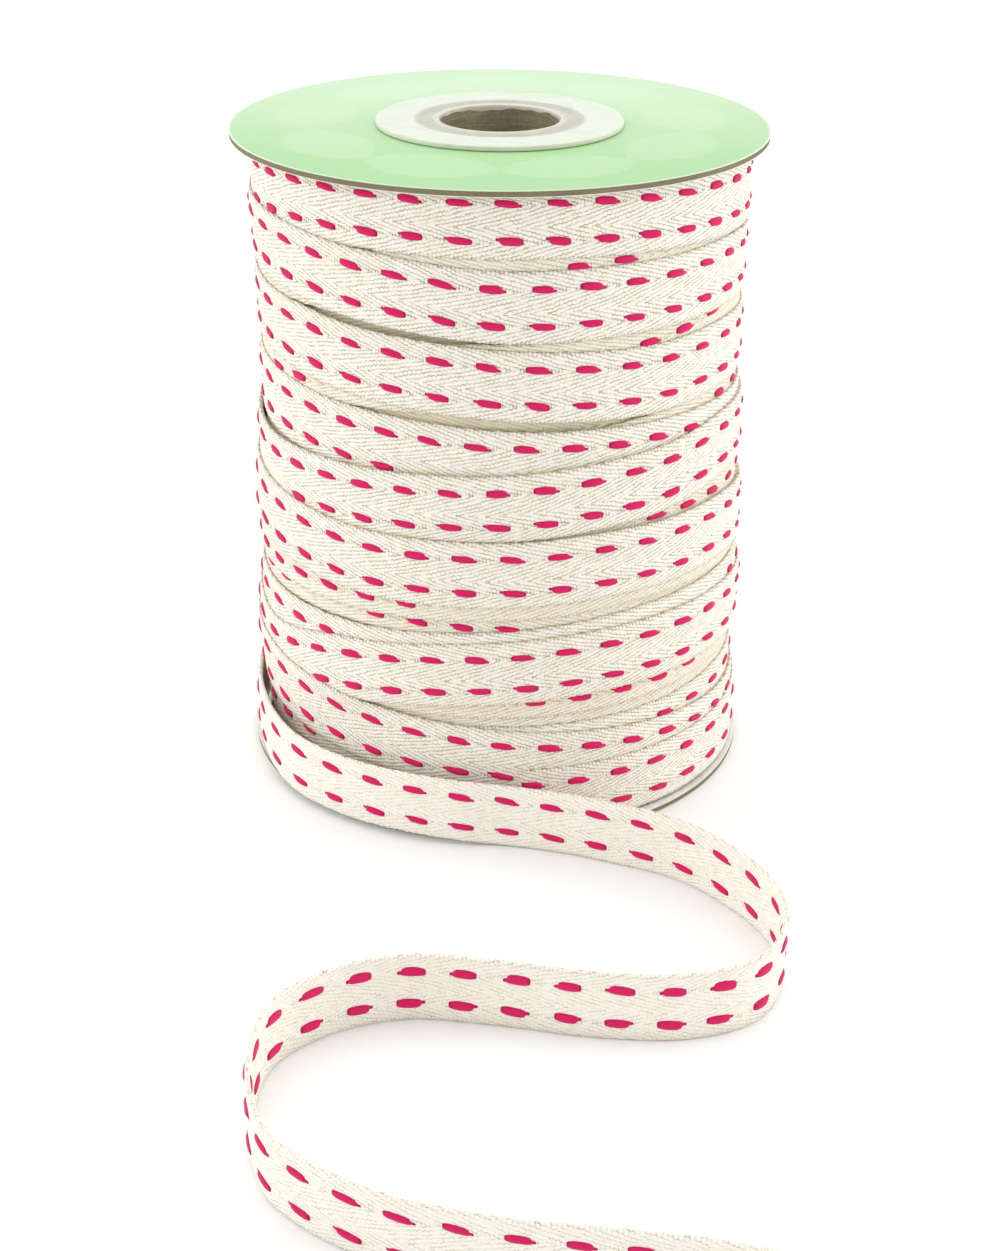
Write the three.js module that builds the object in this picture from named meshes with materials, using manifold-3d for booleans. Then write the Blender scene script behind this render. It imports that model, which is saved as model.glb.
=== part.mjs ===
// Roll of narrow cotton ribbon on a flanged card spool, with the last turn let out in an S.
// Millimetres, +Z up. The spool stands on its lower disc, and the loose ribbon stands on edge.
import * as THREE from 'three';
import { mergeVertices } from 'three/addons/utils/BufferGeometryUtils.js';
import Module from 'manifold-3d';

// Driving sizes of the spool
const DISC_RADIUS = 38.5;
const DISC_THICKNESS = 0.9;
const SPOOL_HEIGHT = 96.1;
const DISC_HOLE_RADIUS = 12.3;
const CORE_INNER_RADIUS = 8.6;
const CORE_OUTER_RADIUS = 11.0;
const COLLAR_RADIUS = 17.75;
const COLLAR_FLANGE = 0.5;
const CLEARANCE = 0.3;

// Where the spool's axis stands, so that the origin is under the middle of the whole thing
const SPOOL_AXIS_Y = 48.8;

// Sizes of the ribbon
const RIBBON_WIDTH = 10;
const TAIL_THICKNESS = 1.0;
const TURN_DEPTH = 3.2;
const BED_DEPTH = 0.75;

// Smoothness
const SPOOL_SEGMENTS = 72;
const TURN_SEGMENTS = 48;
const TAIL_STEP = 1.9;

const LOWER_FACE = DISC_THICKNESS;
const UPPER_FACE = SPOOL_HEIGHT - DISC_THICKNESS;
const WOUND_BOTTOM = LOWER_FACE + CLEARANCE;
const WOUND_TOP = UPPER_FACE - CLEARANCE;

// The outer turns from the top down. Each row holds the height of the ribbon's middle line at
// five places across the front (degrees from the front, to the right) and its outer radius
// at the roll's left and right side.
const FRONT_ANGLES = [-70, -35, 0, 35, 70];
const TURNS = [
  { heights: [90.5, 91.2, 91.3, 90.5, 89.8], left: 35.9, right: 36.7 },
  { heights: [82.9, 81.5, 79.8, 79.9, 79.4], left: 35.7, right: 36.2 },
  { heights: [71.9, 70.6, 69.0, 67.9, 67.8], left: 35.1, right: 36.2 },
  { heights: [60.1, 59.0, 57.7, 56.7, 56.0], left: 35.0, right: 36.1 },
  { heights: [50.1, 50.6, 51.5, 52.8, 54.0], left: 36.1, right: 36.8 },
  { heights: [41.8, 41.8, 41.8, 42.1, 42.0], left: 36.8, right: 37.3 },
  { heights: [38.1, 38.8, 39.0, 39.3, 39.4], left: 36.2, right: 36.7 },
  { heights: [33.3, 34.0, 35.2, 35.4, 34.5], left: 35.6, right: 36.1 },
  { heights: [26.0, 26.4, 28.0, 29.4, 29.5], left: 36.2, right: 37.0 },
  { heights: [20.6, 24.0, 26.5, 27.4, 27.7], left: 36.8, right: 37.7 },
  { heights: [15.0, 14.6, 12.6, 11.6, 11.7], left: 36.3, right: 37.7 },
  { heights: [6.4, 6.3, 6.2, 6.2, 7.0], left: 36.2, right: 37.5 },
];
// Each turn's two ends meet at the back, and run on a little inside the turn that they join
const END_TUCK = { depth: 0.9, narrowing: 0.3 };
const START_TUCK = { depth: 1.5, narrowing: 0.5 };

// The loosened last turn goes over the lower disc's rim. Each row is an angle round the spool,
// the radius of the ribbon's middle surface and the height of its lower edge.
const LETTING_OUT = [
  { angle: -116, radius: 37.6, lift: 1.5 },
  { angle: -98, radius: 37.5, lift: 1.5 },
  { angle: -80, radius: 37.5, lift: 1.45 },
  { angle: -70, radius: 38.0, lift: 1.4 },
  { angle: -60, radius: 38.8, lift: 1.3 },
  { angle: -48, radius: 39.45, lift: 0.9 },
  { angle: -34, radius: 39.4, lift: 0.85 },
  { angle: -20, radius: 39.35, lift: 0.9 },
  { angle: -8, radius: 39.4, lift: 0.6 },
  { angle: 2, radius: 39.5, lift: 0.1 },
];

// The free stretch stands on the surface. Each row is a place seen from above, from the
// spool's axis: to the right bend, back to the left bend and out to the cut end.
const FREE_ROUTE = [
  [14.4, -43.0], [26.4, -48.9], [35.2, -59.3], [38.2, -70.5], [33.9, -81.2], [25.0, -85.4],
  [12.0, -85.1], [-1.0, -82.5], [-10.7, -81.6], [-20.0, -84.4], [-27.0, -91.3], [-28.8, -101.5],
  [-25.8, -114.6], [-21.4, -119.6], [-16.1, -123.3], [-10.2, -126.3], [-3.7, -128.2], [2.8, -129.6],
  [9.4, -130.5], [16.1, -131.3], [22.6, -132.3], [28.2, -133.8], [33.2, -135.6],
];

// Colours read from the photo
const MINT_CARD = new THREE.MeshStandardMaterial({ color: 0xa9e0a0, roughness: 0.35, metalness: 0 });
const WHITE_CARD = new THREE.MeshStandardMaterial({ color: 0xdedcd4, roughness: 0.7, metalness: 0 });
const CLOUDY_PLASTIC = new THREE.MeshStandardMaterial({ color: 0xe6e6de, roughness: 0.45, metalness: 0 });
const BROWN_CARD = new THREE.MeshStandardMaterial({ color: 0x85775c, roughness: 0.9, metalness: 0 });
const COTTON = new THREE.MeshStandardMaterial({ color: 0xefe9db, roughness: 0.95, metalness: 0 });

const radians = THREE.MathUtils.degToRad;
const wasm = await Module();
wasm.setup();

function namedMesh(name, geometry, material) {
  const mesh = new THREE.Mesh(geometry, material);
  mesh.name = name;
  return mesh;
}

// A turned ring from a closed profile of [radius, height] pairs, listed upwards on the outside
function turnedRing(profile, segments = SPOOL_SEGMENTS) {
  const closed = [...profile, profile[0]];
  const points = closed.map(([radius, height]) => new THREE.Vector2(radius, height));
  const geometry = new THREE.LatheGeometry(points, segments);
  geometry.rotateX(Math.PI / 2);
  return geometry;
}

function plainRing(innerRadius, outerRadius, bottom, top, segments) {
  const profile = [
    [innerRadius, bottom], [outerRadius, bottom], [outerRadius, top], [innerRadius, top],
  ];
  return turnedRing(profile, segments);
}

// Smooth curve through knots of increasing x, with the slope at each knot from its neighbours
function smoothThrough(knots, x) {
  const last = knots.length - 1;
  let i = 0;
  while (i < last - 1 && x > knots[i + 1][0]) i += 1;
  const slopeAt = (k) => {
    const a = knots[Math.max(0, k - 1)];
    const b = knots[Math.min(last, k + 1)];
    return (b[1] - a[1]) / (b[0] - a[0]);
  };
  const [x0, y0] = knots[i];
  const [x1, y1] = knots[i + 1];
  const span = x1 - x0;
  const t = THREE.MathUtils.clamp((x - x0) / span, 0, 1);
  const t2 = t * t;
  const t3 = t2 * t;
  return (2 * t3 - 3 * t2 + 1) * y0 + (t3 - 2 * t2 + t) * span * slopeAt(i)
    + (-2 * t3 + 3 * t2) * y1 + (t3 - t2) * span * slopeAt(i + 1);
}

// A closed flat strip. Each station has a place, the outward direction across its thickness,
// the reach outwards and inwards from that place, and the heights of its two edges.
function strip(stations) {
  const positions = [];
  for (const s of stations) {
    const outer = [s.x + s.nx * s.outwards, s.y + s.ny * s.outwards];
    const inner = [s.x - s.nx * s.inwards, s.y - s.ny * s.inwards];
    positions.push(...outer, s.bottom, ...outer, s.top, ...inner, s.top, ...inner, s.bottom);
  }
  const index = [];
  for (let i = 0; i < stations.length - 1; i += 1) {
    for (let k = 0; k < 4; k += 1) {
      const a = 4 * i + k;
      const b = 4 * i + (k + 1) % 4;
      index.push(a, a + 4, b, b, a + 4, b + 4);
    }
  }
  const end = 4 * (stations.length - 1);
  index.push(0, 1, 2, 0, 2, 3, end, end + 2, end + 1, end, end + 3, end + 2);
  const geometry = new THREE.BufferGeometry();
  geometry.setAttribute('position', new THREE.Float32BufferAttribute(positions, 3));
  geometry.setIndex(index);
  geometry.computeVertexNormals();
  return geometry;
}

// Knots along one outer turn, of its heights or its radii, that run on at the back towards
// the turns above and below it
function turnKnots(turn, frontValues) {
  const above = frontValues(TURNS[Math.max(0, turn - 1)]);
  const below = frontValues(TURNS[Math.min(TURNS.length - 1, turn + 1)]);
  const here = frontValues(TURNS[turn]).map((value, k) => [FRONT_ANGLES[k], value]);
  const leftOf = above.slice(3).map((value, k) => [FRONT_ANGLES[k + 3] - 360, value]);
  const rightOf = below.slice(0, 2).map((value, k) => [FRONT_ANGLES[k] + 360, value]);
  return [...leftOf, ...here, ...rightOf];
}

function frontRadii({ left, right }) {
  const middle = (left + right) / 2;
  const lean = (right - left) / 2;
  return FRONT_ANGLES.map((angle) => middle + lean * Math.sin(radians(angle)));
}

function turnStrip(turn) {
  const heights = turnKnots(turn, (t) => t.heights);
  const radii = turnKnots(turn, frontRadii);
  const half = TURN_SEGMENTS / 2;
  const stations = [];
  for (let i = -half - 1; i <= half + 1; i += 1) {
    const angle = i * 360 / TURN_SEGMENTS;
    const a = radians(angle);
    let tuck = { depth: 0, narrowing: 0 };
    if (i < -half) tuck = START_TUCK;
    if (i > half) tuck = END_TUCK;
    const radius = smoothThrough(radii, angle) - tuck.depth;
    const middle = smoothThrough(heights, angle);
    stations.push({
      x: radius * Math.sin(a),
      y: -radius * Math.cos(a),
      nx: Math.sin(a),
      ny: -Math.cos(a),
      outwards: 0,
      inwards: TURN_DEPTH,
      bottom: Math.max(middle - RIBBON_WIDTH / 2, WOUND_BOTTOM) + tuck.narrowing,
      top: Math.min(middle + RIBBON_WIDTH / 2, WOUND_TOP) - tuck.narrowing,
    });
  }
  return strip(stations);
}

function toSolid(geometry) {
  const bare = new THREE.BufferGeometry();
  bare.setAttribute('position', geometry.getAttribute('position').clone());
  if (geometry.index) bare.setIndex(geometry.index.clone());
  const merged = mergeVertices(bare, 1e-4);
  return new wasm.Manifold(new wasm.Mesh({
    numProp: 3,
    vertProperties: new Float32Array(merged.getAttribute('position').array),
    triVerts: new Uint32Array(merged.index.array),
  }));
}

function fromSolid(solid) {
  const mesh = solid.getMesh();
  const geometry = new THREE.BufferGeometry();
  geometry.setAttribute('position', new THREE.Float32BufferAttribute(mesh.vertProperties, 3));
  geometry.setIndex([...mesh.triVerts]);
  geometry.computeVertexNormals();
  return geometry;
}

// The wound body under the outer turns, a little fuller low down and leaning to the right
function woundBed() {
  const lean = (t) => (t.left + t.right) / 2 - BED_DEPTH;
  const profile = [[CORE_OUTER_RADIUS + CLEARANCE, WOUND_BOTTOM]];
  const middles = TURNS.map((t) => [t.heights[2], lean(t)]).sort((a, b) => a[0] - b[0]);
  profile.push([middles[0][1], WOUND_BOTTOM]);
  for (const height of [15, 30, 42, 52, 64, 80]) {
    profile.push([smoothThrough(middles, height), height]);
  }
  profile.push([middles[middles.length - 1][1], WOUND_TOP]);
  profile.push([CORE_OUTER_RADIUS + CLEARANCE, WOUND_TOP]);
  return turnedRing(profile, TURN_SEGMENTS);
}

function ribbonRoll() {
  let roll = toSolid(woundBed());
  for (let turn = 0; turn < TURNS.length; turn += 1) {
    roll = roll.add(toSolid(turnStrip(turn)));
  }
  return namedMesh('ribbon_roll', fromSolid(roll), COTTON);
}

function ribbonTail() {
  const places = LETTING_OUT.map(({ angle, radius, lift }) => {
    const a = radians(angle);
    return new THREE.Vector3(radius * Math.sin(a), -radius * Math.cos(a), lift);
  });
  for (const [x, y] of FREE_ROUTE) places.push(new THREE.Vector3(x, y, 0));
  const route = new THREE.CatmullRomCurve3(places, false, 'centripetal');
  const count = Math.round(route.getLength() / TAIL_STEP);
  const stations = [];
  for (let i = 0; i <= count; i += 1) {
    const place = route.getPointAt(i / count);
    const along = route.getTangentAt(i / count);
    const flat = Math.hypot(along.x, along.y);
    stations.push({
      x: place.x,
      y: place.y,
      nx: along.y / flat,
      ny: -along.x / flat,
      outwards: TAIL_THICKNESS / 2,
      inwards: TAIL_THICKNESS / 2,
      bottom: Math.max(place.z, 0),
      top: Math.max(place.z, 0) + RIBBON_WIDTH,
    });
  }
  return namedMesh('ribbon_tail', strip(stations), COTTON);
}

function spoolDiscs() {
  const lower = plainRing(DISC_HOLE_RADIUS, DISC_RADIUS, 0, DISC_THICKNESS);
  const upper = plainRing(DISC_HOLE_RADIUS, DISC_RADIUS, UPPER_FACE, SPOOL_HEIGHT);
  return [
    namedMesh('bottom_disc', lower, WHITE_CARD),
    namedMesh('top_disc', upper, MINT_CARD),
  ];
}

function cardCore() {
  const tube = plainRing(CORE_INNER_RADIUS, CORE_OUTER_RADIUS, WOUND_BOTTOM, WOUND_TOP);
  return namedMesh('core_tube', tube, BROWN_CARD);
}

// Plastic collar: a thin flange on the disc, a shallow groove, a rounded lip and a short neck
function topCollar() {
  const flangeBottom = SPOOL_HEIGHT + CLEARANCE;
  const flangeTop = flangeBottom + COLLAR_FLANGE;
  const neckRadius = DISC_HOLE_RADIUS - CLEARANCE;
  const grooveBottom = flangeTop - 0.4;
  const profile = [
    [CORE_INNER_RADIUS, UPPER_FACE],
    [neckRadius, UPPER_FACE],
    [neckRadius, flangeBottom],
    [COLLAR_RADIUS, flangeBottom],
    [COLLAR_RADIUS, flangeTop - 0.15],
    [COLLAR_RADIUS - 0.2, flangeTop],
    [11.8, flangeTop],
    [11.2, grooveBottom],
    [10.3, grooveBottom],
    [9.6, flangeTop - 0.1],
    [9.1, flangeTop],
    [CORE_INNER_RADIUS + 0.1, flangeTop - 0.15],
    [CORE_INNER_RADIUS, flangeTop - 0.5],
  ];
  return namedMesh('top_collar', turnedRing(profile), CLOUDY_PLASTIC);
}

const group = new THREE.Group();
group.position.set(0, SPOOL_AXIS_Y, 0);
group.add(...spoolDiscs());
group.add(cardCore());
group.add(topCollar());
group.add(ribbonRoll());
group.add(ribbonTail());

export default group;
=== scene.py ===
"""Roll of stitched cotton ribbon on a card spool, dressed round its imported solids.

Sizes in this file are millimetres in the spool's own frame, with the spool's axis at x = y = 0,
unless a name or a unit says otherwise. Meshes are written in metres in the part's frame.
"""

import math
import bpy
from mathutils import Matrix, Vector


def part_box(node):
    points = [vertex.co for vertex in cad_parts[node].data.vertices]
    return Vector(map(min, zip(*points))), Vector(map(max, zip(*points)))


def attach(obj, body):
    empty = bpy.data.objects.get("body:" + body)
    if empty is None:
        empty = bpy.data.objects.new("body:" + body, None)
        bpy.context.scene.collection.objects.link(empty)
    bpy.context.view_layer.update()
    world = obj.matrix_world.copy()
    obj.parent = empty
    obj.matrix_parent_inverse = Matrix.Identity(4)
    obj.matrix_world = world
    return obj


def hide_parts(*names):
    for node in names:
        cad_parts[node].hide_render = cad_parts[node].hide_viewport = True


bl_info = {
    "name": "Ribbon Roll",
    "version": (1, 0, 0),
    "blender": (4, 5, 0),
    "location": "3D View > Sidebar > Ribbon Roll",
    "description": "Builds a roll of stitched cotton ribbon with a loose end, on its card spool",
    "category": "Add Mesh",
}

import bpy
import numpy as np
from mathutils import Matrix, Vector

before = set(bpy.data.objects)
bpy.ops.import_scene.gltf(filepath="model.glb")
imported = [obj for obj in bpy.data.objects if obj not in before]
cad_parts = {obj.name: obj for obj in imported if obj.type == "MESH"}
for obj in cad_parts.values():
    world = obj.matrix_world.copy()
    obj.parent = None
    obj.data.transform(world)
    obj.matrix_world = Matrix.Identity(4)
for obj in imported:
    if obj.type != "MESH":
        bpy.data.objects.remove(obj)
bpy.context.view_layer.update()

MM = 0.001
RIBBON_HALF = 5.0

# The spool's own sizes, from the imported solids
core_low, core_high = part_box("core_tube")
disc_low, disc_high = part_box("top_disc")
collar_low, collar_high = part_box("top_collar")
base_low, base_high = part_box("bottom_disc")
AXIS_Y = (core_low.y + core_high.y) / 2 / MM
DISC_RADIUS = (base_high.x - base_low.x) / 2 / MM
DISC_THICKNESS = (base_high.z - base_low.z) / MM
UPPER_FACE = disc_low.z / MM
SPOOL_TOP = disc_high.z / MM
COLLAR_TOP = collar_high.z / MM
COLLAR_RADIUS = (collar_high.x - collar_low.x) / 2 / MM
WOUND_TOP = core_high.z / MM
WOUND_BOTTOM = core_low.z / MM
BORE_RADIUS = 8.6
TUBE_RADIUS = 11.0
DISC_HOLE_RADIUS = 12.3

# The ribbon's course

# The outer winding from the top down, one row a turn: the height of the ribbon's middle line at
# five places across the front (degrees from the front, to the right), the outer radius at the
# roll's left and right side, where the upper and the lower row has a stitch near the front, and
# the distance from stitch to stitch.
FRONT_ANGLES = (-70, -35, 0, 35, 70)
OUTER_TURNS = (
    ((90.6, 91.2, 91.3, 90.8, 89.5), (35.6, 36.0), (2.0, 2.0), 6.56),
    ((82.9, 81.5, 79.8, 79.8, 79.4), (35.4, 35.9), (-1.2, -1.5), 6.68),
    ((71.8, 70.5, 69.0, 67.8, 67.8), (35.1, 36.0), (-2.0, -2.4), 6.72),
    ((60.0, 58.8, 57.7, 56.7, 56.0), (35.0, 36.0), (-4.3, -5.4), 6.66),
    ((50.0, 50.4, 51.4, 52.8, 54.1), (36.0, 36.6), (0.2, 0.0), 6.64),
    ((42.8, 41.6, 41.7, 42.1, 41.0), (36.5, 37.1), (3.4, 3.3), 6.78),
    ((20.6, 24.1, 26.5, 27.4, 26.8), (36.6, 37.4), (-4.2, -3.7), 6.56),
    ((16.2, 14.5, 12.6, 10.6, 9.0), (36.3, 37.5), (1.8, 1.2), 6.65),
    ((6.2, 6.2, 6.2, 6.2, 6.2), (35.7, 37.9), (-1.6, -0.8), 6.58),
)
# Turns of the layer below, which show in the gaps, in the order in which they were laid
UNDER_TURNS = (
    ((81.0, 81.6, 82.0, 83.0, 83.6), (35.2, 35.5), (-4.2, -4.2)),
    ((67.4, 68.7, 69.8, 70.6, 72.5), (34.9, 35.5), (3.0, 1.2)),
    ((53.0, 54.3, 55.8, 57.6, 59.2), (34.8, 35.5), (-1.8, -1.8)),
    ((45.0, 45.0, 45.0, 45.0, 45.0), (35.6, 36.3), (-4.2, -4.2)),
    ((30.5, 30.0, 29.5, 29.3, 29.5), (35.5, 36.0), (0.0, 0.0)),
    ((18.4, 17.6, 16.7, 17.1, 17.5), (35.9, 36.5), (-3.8, -3.8)),
    ((25.0, 24.2, 24.15, 24.4, 24.7), (36.0, 36.6), (-2.0, -2.0)),
    ((12.5, 12.7, 12.9, 12.9, 13.4), (36.2, 36.8), (1.1, 1.1)),
    ((35.4, 36.2, 35.7, 35.2, 34.0), (35.8, 36.3), (2.5, 2.5)),
    ((26.0, 26.4, 28.0, 29.4, 29.5), (36.3, 36.8), (-0.9, -0.9)),
    ((38.1, 38.6, 39.5, 40.3, 39.7), (36.3, 36.8), (0.0, 0.0)),
)
UNDER_PITCH = 6.65
LAST_TURN = len(OUTER_TURNS) - 1
# Where the last turn runs under the lower edge of the one before it
TUCKED = (-160, 6)
# The turn under the topmost one ends where that one comes up to the surface, at the back
HIDDEN_START = {"first": -100.0, "height": 90.2, "radius": (34.9, 35.3), "rise": 35.4}
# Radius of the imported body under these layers, by height
BED = (
    (0, 35.3), (12, 35.2), (22, 35.0), (32, 34.6), (42, 34.6), (55, 34.4), (63, 34.6), (72, 34.3),
    (95, 34.3),
)

# The last turn leaves the roll: angle, radius of the sheet's middle, height of its lower edge
LETTING_OUT = (
    (-116, 37.6, 1.5), (-98, 37.5, 1.5), (-80, 37.5, 1.45), (-70, 38.0, 1.4), (-60, 38.8, 1.3),
    (-48, 39.45, 0.9), (-34, 39.4, 0.85), (-20, 39.35, 0.9), (-8, 39.4, 0.6), (2, 39.5, 0.1),
)
# Then the free stretch stands on the surface, seen from above
FREE_ROUTE = (
    (14.4, -43.0), (26.4, -48.9), (35.2, -59.3), (38.2, -70.5), (33.9, -81.2), (25.0, -85.4),
    (12.0, -85.1), (-1.0, -82.5), (-10.7, -81.6), (-20.0, -84.4), (-27.0, -91.3), (-28.8, -101.5),
    (-25.8, -114.6), (-21.4, -119.6), (-16.1, -123.3), (-10.2, -126.3), (-3.7, -128.2), (2.8, -129.6),
    (9.4, -130.5), (16.1, -131.3), (22.6, -132.3), (28.2, -133.8), (33.2, -135.6),
)
TAIL_HALF_THICKNESS = 0.5
# Degrees past the front of the last turn where the loose end's own course takes over
LEAVING_ANGLE = 244.0
PAST_LEAVING = 262
# Round the back to there: degrees, and the middle line's height or the outer radius
BACK_HEIGHTS = ((180, 6.75), (LEAVING_ANGLE, 6.5), (PAST_LEAVING, 6.5))
BACK_RADII = ((180, 37.25), (212, 37.7))
# Stitches along the free ribbon: number of the stitch, and its distance from the leaving point
STITCH_RUN = (
    (-7, -25.0), (0, 23.9), (5, 59.8), (9, 86.5), (12, 106.9), (15, 127.6), (22, 173.4),
    (31, 233.8), (44, 319.4),
)
# The other face's stitches lie between these, and show from this far along
REVERSE_SHIFT = 0.41
REVERSE_FROM = 75

# How finely it is made

TURN_STEPS = 432
RING_STEPS = 240
HEIGHT_CELL = 0.2
TAIL_STEP = 0.5
ROUTE_STEPS = 60
BODY_STEPS = 120
TUBE_STEPS = 120
COLLAR_STEPS = 160
DISC_STEPS = 240
AIR = 0.02
# A ribbon is laid in stretches of so many degrees, each smoothed with so many steps before it
LAID_DEGREES = 90
LAID_LEAD = 12
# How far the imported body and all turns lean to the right
LEAN = 0.25
# Cloth gives way where turns cross, so that a turn stands less than its thickness over the next
PRESSED = 0.36
BLUR_PASSES = 14
ACROSS = np.array((-5, -4.86, -4.45, -3.7, -2.5, -1.25, 0, 1.25, 2.5, 3.7, 4.45, 4.86, 5))
EDGE_DROP = np.array((0.3, 0.1, 0.01, 0, 0, 0, 0, 0, 0, 0, 0.01, 0.1, 0.3))
INNER_ACROSS = np.array((4.8, 2.4, 0, -2.4, -4.8))
ROW_HEIGHT = 2.5
# How far above a place an overlapping turn is looked for, and how it tells, for the shade painted where
# a turn lies under another's edge
CREASE_REACH = (0.3, 0.6, 0.9, 1.3, 1.8, 2.4, 3.0)
CREASE_FADE = 3.6
CREASE_DEPTH = 0.55
CREASE_START = 0.08
# The woven edges are scalloped from here outwards, over this width
SCALLOP_FROM = 3.7
SCALLOP_WIDTH = 1.16
# Below the upper disc: room for the ribbon's edge, how far it may rise into that room and how
# softly, and how much it bends in towards the axis instead
DISC_ROOM = 0.35
SQUEEZE = 0.3
SQUEEZE_SOFTNESS = 0.5
BENT_IN = 0.95
BENT_FROM = 0.15

rng = np.random.default_rng(7)


def tidy(angle):
    """An angle in degrees from -180 to 180."""
    return (angle + 180) % 360 - 180


def cell_and_share(knots, x):
    """The stretch between two rising knots that x lies in, and how far through it x lies."""
    i = np.clip(np.searchsorted(knots, x) - 1, 0, len(knots) - 2)
    return i, (x - knots[i]) / (knots[i + 1] - knots[i])


def smooth_through(knots, x):
    """Smooth curve through knots of rising x, its slope at each knot from the neighbours."""
    at, value = np.array(knots, float).T
    every = np.arange(len(at))
    before = np.maximum(every - 1, 0)
    after = np.minimum(every + 1, len(at) - 1)
    slope = (value[after] - value[before]) / (at[after] - at[before])
    i, t = cell_and_share(at, x)
    span = at[i + 1] - at[i]
    t = np.clip(t, 0, 1)
    t2, t3 = t * t, t * t * t
    return (
        (2 * t3 - 3 * t2 + 1) * value[i]
        + (t3 - 2 * t2 + t) * span * slope[i]
        + (3 * t2 - 2 * t3) * value[i + 1]
        + (t3 - t2) * span * slope[i + 1]
    )


def drift(count, step, wavelengths, size):
    """A slow seeded wander along a ribbon, in mm, for stations that lie step mm apart."""
    x = np.arange(count) * step
    total = np.zeros(count)
    for wavelength in wavelengths:
        total += np.sin(2 * math.pi * x / wavelength + rng.uniform(0, 2 * math.pi))
    return size * total / len(wavelengths)


class Roll:
    """How far out the cloth reaches, over the angle round the spool and the height."""

    def __init__(self):
        heights = np.arange(0, UPPER_FACE + 2, HEIGHT_CELL)
        angles = np.radians(np.arange(TURN_STEPS) * 360 / TURN_STEPS - 180)
        bed = smooth_through(BED, heights)
        self.reach = bed[None, :] + LEAN * np.sin(angles)[:, None]

    def place(self, angles, heights):
        row = np.rint((np.asarray(angles) + 180) / 360 * TURN_STEPS).astype(int) % TURN_STEPS
        column = np.clip(np.rint(heights / HEIGHT_CELL).astype(int), 0, self.reach.shape[1] - 1)
        return row, column

    def under(self, angles, heights):
        row, column = self.place(angles, heights)
        return self.reach[row[:, None], column]

    def cover(self, angles, middles, outer):
        """Takes in a stretch of ribbon that now lies there."""
        every = np.arange(-RIBBON_HALF, RIBBON_HALF + HEIGHT_CELL / 2, HEIGHT_CELL)
        for angle, middle, profile in zip(angles, middles, outer):
            row, columns = self.place([angle], middle + every)
            level = np.interp(every, ACROSS, profile)
            np.maximum.at(self.reach[row[0]], columns, level)

    def crease(self, cloth, angles):
        """How deep each place of a cloth lies under the edge of the turn above it, from 0 to 1: the
        strength of its painted shade.
        """
        heights = cloth.outer[:, :, 2]
        radius = np.linalg.norm(cloth.outer[:, :, :2], axis=2)
        above = np.zeros_like(radius)
        for reach in CREASE_REACH:
            level = self.under(angles, heights + reach)
            above = np.maximum(above, (level - radius - CREASE_START) * (1 - reach / CREASE_FADE))
        return np.clip(above / CREASE_DEPTH, 0, 1)

    def lay(self, angles, middles, nominal, closed=False, tucked=None):
        """Lays a ribbon on what is there, stretch by stretch. Returns its outer radii.

        From the first to the last tucked angle it runs under the turn above it instead.
        """
        wanted = np.zeros((len(angles), len(ACROSS)))
        steps = max(8, int(round(LAID_DEGREES / abs(angles[1] - angles[0]))))
        for start in range(0, len(angles), steps):
            part = slice(start, min(start + steps, len(angles)))
            heights = middles[part, None] + ACROSS[None, :]
            wanted[part] = self.under(angles[part], heights) + PRESSED + AIR
            if tucked:
                inside = (angles[part] > tucked[0]) & (angles[part] < tucked[1])
                wanted[part][inside] = 0
            lead = slice(max(0, start - LAID_LEAD), part.stop)
            profile = relax(wanted[lead], nominal[lead], closed=False)
            self.cover(angles[part], middles[part], profile[start - lead.start:])
        return relax(wanted, nominal, closed)


def relax(wanted, nominal, closed):
    """The smooth skin that stays over what is wanted and near the nominal radius."""
    level = np.maximum(wanted, nominal[:, None])
    for _ in range(BLUR_PASSES):
        if closed:
            before, after = np.roll(level, 1, 0), np.roll(level, -1, 0)
        else:
            before = np.vstack((level[:1], level[:-1]))
            after = np.vstack((level[1:], level[-1:]))
        along = (before + 2 * level + after) / 4
        lower = np.hstack((along[:, :1], along[:, :-1]))
        upper = np.hstack((along[:, 1:], along[:, -1:]))
        level = np.maximum(wanted, (lower + 2 * along + upper) / 4)
    return level


def side_radii(sides):
    middle = (sides[0] + sides[1]) / 2
    lean = (sides[1] - sides[0]) / 2
    return [middle + lean * math.sin(math.radians(a)) for a in FRONT_ANGLES]


def winding_course():
    """The outer winding as one ribbon: angles, middle heights and nominal radii."""
    heights = [(-180, 90.0)]
    radii = [(-180, HIDDEN_START["rise"]), (-140, HIDDEN_START["rise"] + 0.2)]
    for turn, (middles, sides, _, _) in enumerate(OUTER_TURNS):
        heights += [(360 * turn + a, z) for a, z in zip(FRONT_ANGLES, middles)]
        radii += [(360 * turn + a, r) for a, r in zip(FRONT_ANGLES, side_radii(sides))]
    last = 360 * LAST_TURN
    leaving = LETTING_OUT[0][1] + TAIL_HALF_THICKNESS
    back = (*BACK_RADII, (LEAVING_ANGLE, leaving), (PAST_LEAVING, leaving - 0.1))
    heights += [(last + a, z) for a, z in BACK_HEIGHTS]
    radii += [(last + a, r) for a, r in back]
    angles = np.arange(-180, last + LEAVING_ANGLE + 0.01, 360 / TURN_STEPS)
    step = 2 * math.pi * 36.5 / TURN_STEPS
    middles = smooth_through(heights, angles)
    middles += drift(len(angles), step, (61, 37, 23), 0.12)
    nominal = smooth_through(radii, angles)
    nominal += drift(len(angles), step, (83, 29, 17), 0.06)
    return angles, middles, nominal


# Cloth as a mesh


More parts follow.
